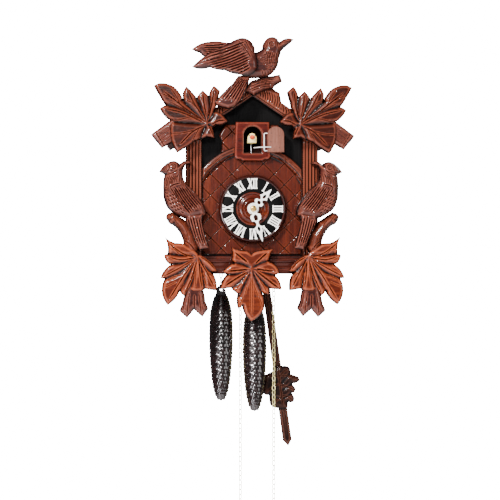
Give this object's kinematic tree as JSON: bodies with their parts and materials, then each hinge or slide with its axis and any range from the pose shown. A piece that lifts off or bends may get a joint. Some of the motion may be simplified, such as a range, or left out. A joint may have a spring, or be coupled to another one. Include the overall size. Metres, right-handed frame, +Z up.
{
  "type": "cuckoo clock",
  "caption": "Carved wall clock with a calling bird behind a small door, chain driven by cone weights, with a leaf pendulum.",
  "frame": {"origin": "centre of the hanger's nail hole, on the wall plane", "axes": "+Z up, +X to the viewer's right, the front faces -Y; the wall is the plane y = 0"},
  "size_m": [0.2314, 0.134, 0.5708],
  "materials": {
    "walnut": "stained, satin",
    "case_wood": "stained, satin",
    "dark_wood": "stained, satin",
    "red_walnut": "smooth, satin",
    "door_wood": "raw",
    "pipe_wood": "raw",
    "dial_black": "painted chapter ring on a turned brown rim",
    "bone_plastic": "smooth",
    "brass": "brushed",
    "chain_brass": "pale, bright",
    "steel": "bright wire",
    "gong_steel": "blued wire",
    "white_wire": "bright wire",
    "bird_paint": "painted",
    "cast_cone": "glossy brown black paint"
  },
  "bodies": {
    "case": {"left_side": "case_wood", "right_side": "case_wood", "bottom_board": "case_wood", "left_roof_board": "case_wood", "right_roof_board": "case_wood", "back_rail": "case_wood", "hanger_plate": "brass", "front_board": "dark_wood", "front_plate": "walnut", "front_posts": "walnut", "base_ledge": "walnut", "gable_trim": "walnut", "top_branch": "walnut", "top_bird": "walnut", "top_bird_wings": "walnut", "upper_left_leaf": "walnut", "upper_right_leaf": "walnut", "left_vine": "walnut", "right_vine": "walnut", "left_bird": "walnut", "right_bird": "walnut", "center_leaf": "walnut", "door_surround": "red_walnut", "dial": "dial_black", "numerals": "bone_plastic", "movement_back_plate": "brass", "movement_front_plate": "brass", "plate_pillars": "brass", "gong": "gong_steel", "bellows_pipes": "pipe_wood", "time_chain": "chain_brass", "strike_chain": "chain_brass"},
    "minute_hand": {"minute_hand": "bone_plastic", "hand_nut": "brass", "cannon_pinion": "brass"},
    "hour_hand": {"hour_hand": "bone_plastic", "hour_wheel": "brass"},
    "motion_wheel": {"motion_wheel": "brass"},
    "time_great_wheel": {"time_great_wheel": "brass"},
    "center_wheel": {"center_wheel": "brass"},
    "third_wheel": {"third_wheel": "brass"},
    "escape_wheel": {"escape_wheel": "brass"},
    "pendulum": {"pallet_anchor": "steel", "pendulum_stick": "dark_wood", "pendulum_leaf": "dark_wood"},
    "strike_great_wheel": {"strike_great_wheel": "brass"},
    "time_chain_wheel": {"time_chain_wheel": "brass"},
    "strike_chain_wheel": {"strike_chain_wheel": "brass"},
    "cuckoo": {"cuckoo_bird": "bird_paint", "cuckoo_arm": "steel"},
    "cuckoo_door": {"cuckoo_door": "door_wood"},
    "door_link": {"door_link": "white_wire"},
    "rear_door": {"rear_door": "case_wood"},
    "left_bellows_lid": {"left_bellows_lid": "pipe_wood"},
    "right_bellows_lid": {"right_bellows_lid": "pipe_wood"},
    "gong_hammer": {"gong_hammer": "steel"},
    "time_weight": {"time_weight": "cast_cone"},
    "strike_weight": {"strike_weight": "cast_cone"},
    "time_chain_end": {"time_chain_ring": "chain_brass"},
    "strike_chain_end": {"strike_chain_ring": "chain_brass"}
  },
  "joints": [
    {"name": "minute_turn", "type": "hinge", "parent": "case", "child": "minute_hand", "pos_m": [0, -0.045, -0.1045], "axis": [0, 1, 0], "continuous": true},
    {"name": "hour_turn", "type": "hinge", "parent": "case", "child": "hour_hand", "pos_m": [0, -0.045, -0.1045], "axis": [0, 1, 0], "continuous": true},
    {"name": "motion_wheel_turn", "type": "hinge", "parent": "case", "child": "motion_wheel", "pos_m": [0, -0.045, -0.1185], "axis": [0, 1, 0], "continuous": true},
    {"name": "third_wheel_turn", "type": "hinge", "parent": "case", "child": "third_wheel", "pos_m": [-0.0106, -0.045, -0.0892], "axis": [0, 1, 0], "continuous": true},
    {"name": "center_wheel_turn", "type": "hinge", "parent": "case", "child": "center_wheel", "pos_m": [0, -0.045, -0.1045], "axis": [0, 1, 0], "continuous": true},
    {"name": "time_great_wheel_turn", "type": "hinge", "parent": "case", "child": "time_great_wheel", "pos_m": [0.02, -0.045, -0.12], "axis": [0, 1, 0], "continuous": true},
    {"name": "escape_wheel_turn", "type": "hinge", "parent": "case", "child": "escape_wheel", "pos_m": [0.0015, -0.045, -0.077], "axis": [0, 1, 0], "continuous": true},
    {"name": "pendulum_swing", "type": "hinge", "parent": "case", "child": "pendulum", "pos_m": [0.0099, -0.02, -0.088], "axis": [0, 1, 0], "range_deg": [-2, 18]},
    {"name": "strike_great_wheel_turn", "type": "hinge", "parent": "case", "child": "strike_great_wheel", "pos_m": [-0.02, -0.045, -0.12], "axis": [0, 1, 0], "continuous": true},
    {"name": "time_weight_slide", "type": "slide", "parent": "case", "child": "time_weight", "axis": [0, 0, 1], "range_m": [-0.05, 0.01], "deforming": ["time_chain"]},
    {"name": "time_chain_end_slide", "type": "slide", "parent": "case", "child": "time_chain_end", "axis": [0, 0, 1], "range_m": [-0.01, 0.05]},
    {"name": "time_chain_wheel_turn", "type": "hinge", "parent": "case", "child": "time_chain_wheel", "pos_m": [0.02, -0.045, -0.12], "axis": [0, 1, 0], "range_deg": [-270, 90]},
    {"name": "strike_weight_slide", "type": "slide", "parent": "case", "child": "strike_weight", "axis": [0, 0, 1], "range_m": [-0.05, 0.01], "deforming": ["strike_chain"]},
    {"name": "strike_chain_end_slide", "type": "slide", "parent": "case", "child": "strike_chain_end", "axis": [0, 0, 1], "range_m": [-0.01, 0.05]},
    {"name": "strike_chain_wheel_turn", "type": "hinge", "parent": "case", "child": "strike_chain_wheel", "pos_m": [-0.02, -0.045, -0.12], "axis": [0, 1, 0], "range_deg": [-270, 90]},
    {"name": "cuckoo_swing", "type": "hinge", "parent": "case", "child": "cuckoo", "pos_m": [-0.03, -0.084, -0.04], "axis": [0, 0, 1], "range_deg": [0, 58]},
    {"name": "door_swing", "type": "hinge", "parent": "case", "child": "cuckoo_door", "pos_m": [0.0133, -0.1052, -0.027], "axis": [0, 0, 1], "range_deg": [-172, 0]},
    {"name": "link_swing", "type": "hinge", "parent": "cuckoo_door", "child": "door_link", "pos_m": [0.02045, -0.1113, -0.034], "axis": [0, 0, 1], "range_deg": [0, 128.4]},
    {"name": "rear_door_swing", "type": "hinge", "parent": "case", "child": "rear_door", "pos_m": [0.057, -0.0045, -0.1], "axis": [0, 0, 1], "range_deg": [-100, 0]},
    {"name": "left_bellows_lift", "type": "hinge", "parent": "case", "child": "left_bellows_lid", "pos_m": [-0.051, -0.012, -0.0717], "axis": [-1, 0, 0], "range_deg": [0, 14]},
    {"name": "right_bellows_lift", "type": "hinge", "parent": "case", "child": "right_bellows_lid", "pos_m": [0.051, -0.012, -0.0717], "axis": [-1, 0, 0], "range_deg": [0, 14]},
    {"name": "hammer_lift", "type": "hinge", "parent": "case", "child": "gong_hammer", "pos_m": [-0.026, -0.012, -0.084], "axis": [0, -1, 0], "range_deg": [0, 25]}
  ],
  "couplings": [
    {"joint": "hour_turn", "follows": "minute_turn", "ratio": 0.083333},
    {"joint": "motion_wheel_turn", "follows": "minute_turn", "ratio": -0.33333},
    {"joint": "center_wheel_turn", "follows": "third_wheel_turn", "ratio": -0.077778},
    {"joint": "time_great_wheel_turn", "follows": "third_wheel_turn", "ratio": 0.038889},
    {"joint": "escape_wheel_turn", "follows": "third_wheel_turn", "ratio": -10},
    {"joint": "time_chain_end_slide", "follows": "time_weight_slide", "ratio": -1},
    {"joint": "time_chain_wheel_turn", "follows": "time_weight_slide", "rad_per_m": 86.957},
    {"joint": "strike_chain_end_slide", "follows": "strike_weight_slide", "ratio": -1},
    {"joint": "strike_chain_wheel_turn", "follows": "strike_weight_slide", "rad_per_m": 86.957},
    {"joint": "door_swing", "follows": "cuckoo_swing", "ratio": -2.9655},
    {"joint": "link_swing", "follows": "cuckoo_swing", "ratio": 2.2137}
  ]
}
